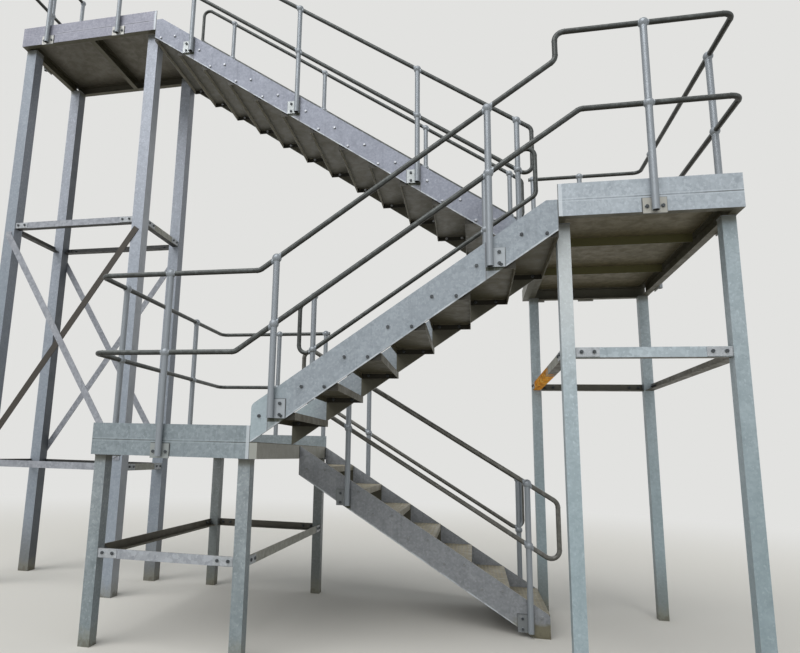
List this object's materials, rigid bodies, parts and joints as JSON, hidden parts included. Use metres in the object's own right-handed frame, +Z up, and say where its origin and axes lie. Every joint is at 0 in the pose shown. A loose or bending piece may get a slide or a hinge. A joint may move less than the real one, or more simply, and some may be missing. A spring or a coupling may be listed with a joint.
{
  "type": "fire escape stair tower",
  "caption": "Galvanised steel switchback fire escape with flights in two lanes, landings on hollow posts, brace bars and tubular handrails.",
  "frame": {"origin": "on the ground, at the middle of the tower's length and depth", "axes": "+X along the flights towards the middle landing, +Y from the open front to the wall side, +Z up"},
  "size_m": [6.1, 2.2659, 6.501],
  "materials": {
    "structural_steel": "dull galvanised",
    "post_steel": "dull galvanised, spangled",
    "walking_plate": "weathered galvanised plate",
    "rail_tube": "dark weathered galvanised tube"
  },
  "bodies": {
    "root": {"ground_front_stringer": "structural_steel", "ground_back_stringer": "structural_steel", "ground_treads": "walking_plate", "ground_front_rail": "rail_tube", "ground_back_rail": "rail_tube", "middle_front_stringer": "structural_steel", "middle_back_stringer": "structural_steel", "middle_treads": "walking_plate", "middle_front_rail": "rail_tube", "middle_back_rail": "rail_tube", "upper_front_stringer": "structural_steel", "upper_back_stringer": "structural_steel", "upper_treads": "walking_plate", "upper_front_rail": "rail_tube", "upper_back_rail": "rail_tube", "low_long_beams": "structural_steel", "low_cross_beams": "structural_steel", "low_bearer": "structural_steel", "low_deck": "walking_plate", "low_toe_plates": "structural_steel", "low_posts": "post_steel", "low_long_braces": "structural_steel", "low_cross_braces": "structural_steel", "low_front_rail": "rail_tube", "low_side_rail": "rail_tube", "low_back_rail": "rail_tube", "mid_long_beams": "structural_steel", "mid_cross_beams": "structural_steel", "mid_bearer": "structural_steel", "mid_deck": "walking_plate", "mid_toe_plates": "structural_steel", "mid_posts": "post_steel", "mid_long_braces": "structural_steel", "mid_cross_braces": "structural_steel", "mid_front_rail": "rail_tube", "mid_side_rail": "rail_tube", "mid_back_rail": "rail_tube", "top_long_beams": "structural_steel", "top_cross_beams": "structural_steel", "top_deck": "walking_plate", "top_toe_plates": "structural_steel", "top_posts": "post_steel", "top_long_braces": "structural_steel", "top_cross_braces": "structural_steel", "top_diagonals": "structural_steel", "top_front_rail": "rail_tube", "top_side_rail": "rail_tube"}
  },
  "joints": []
}
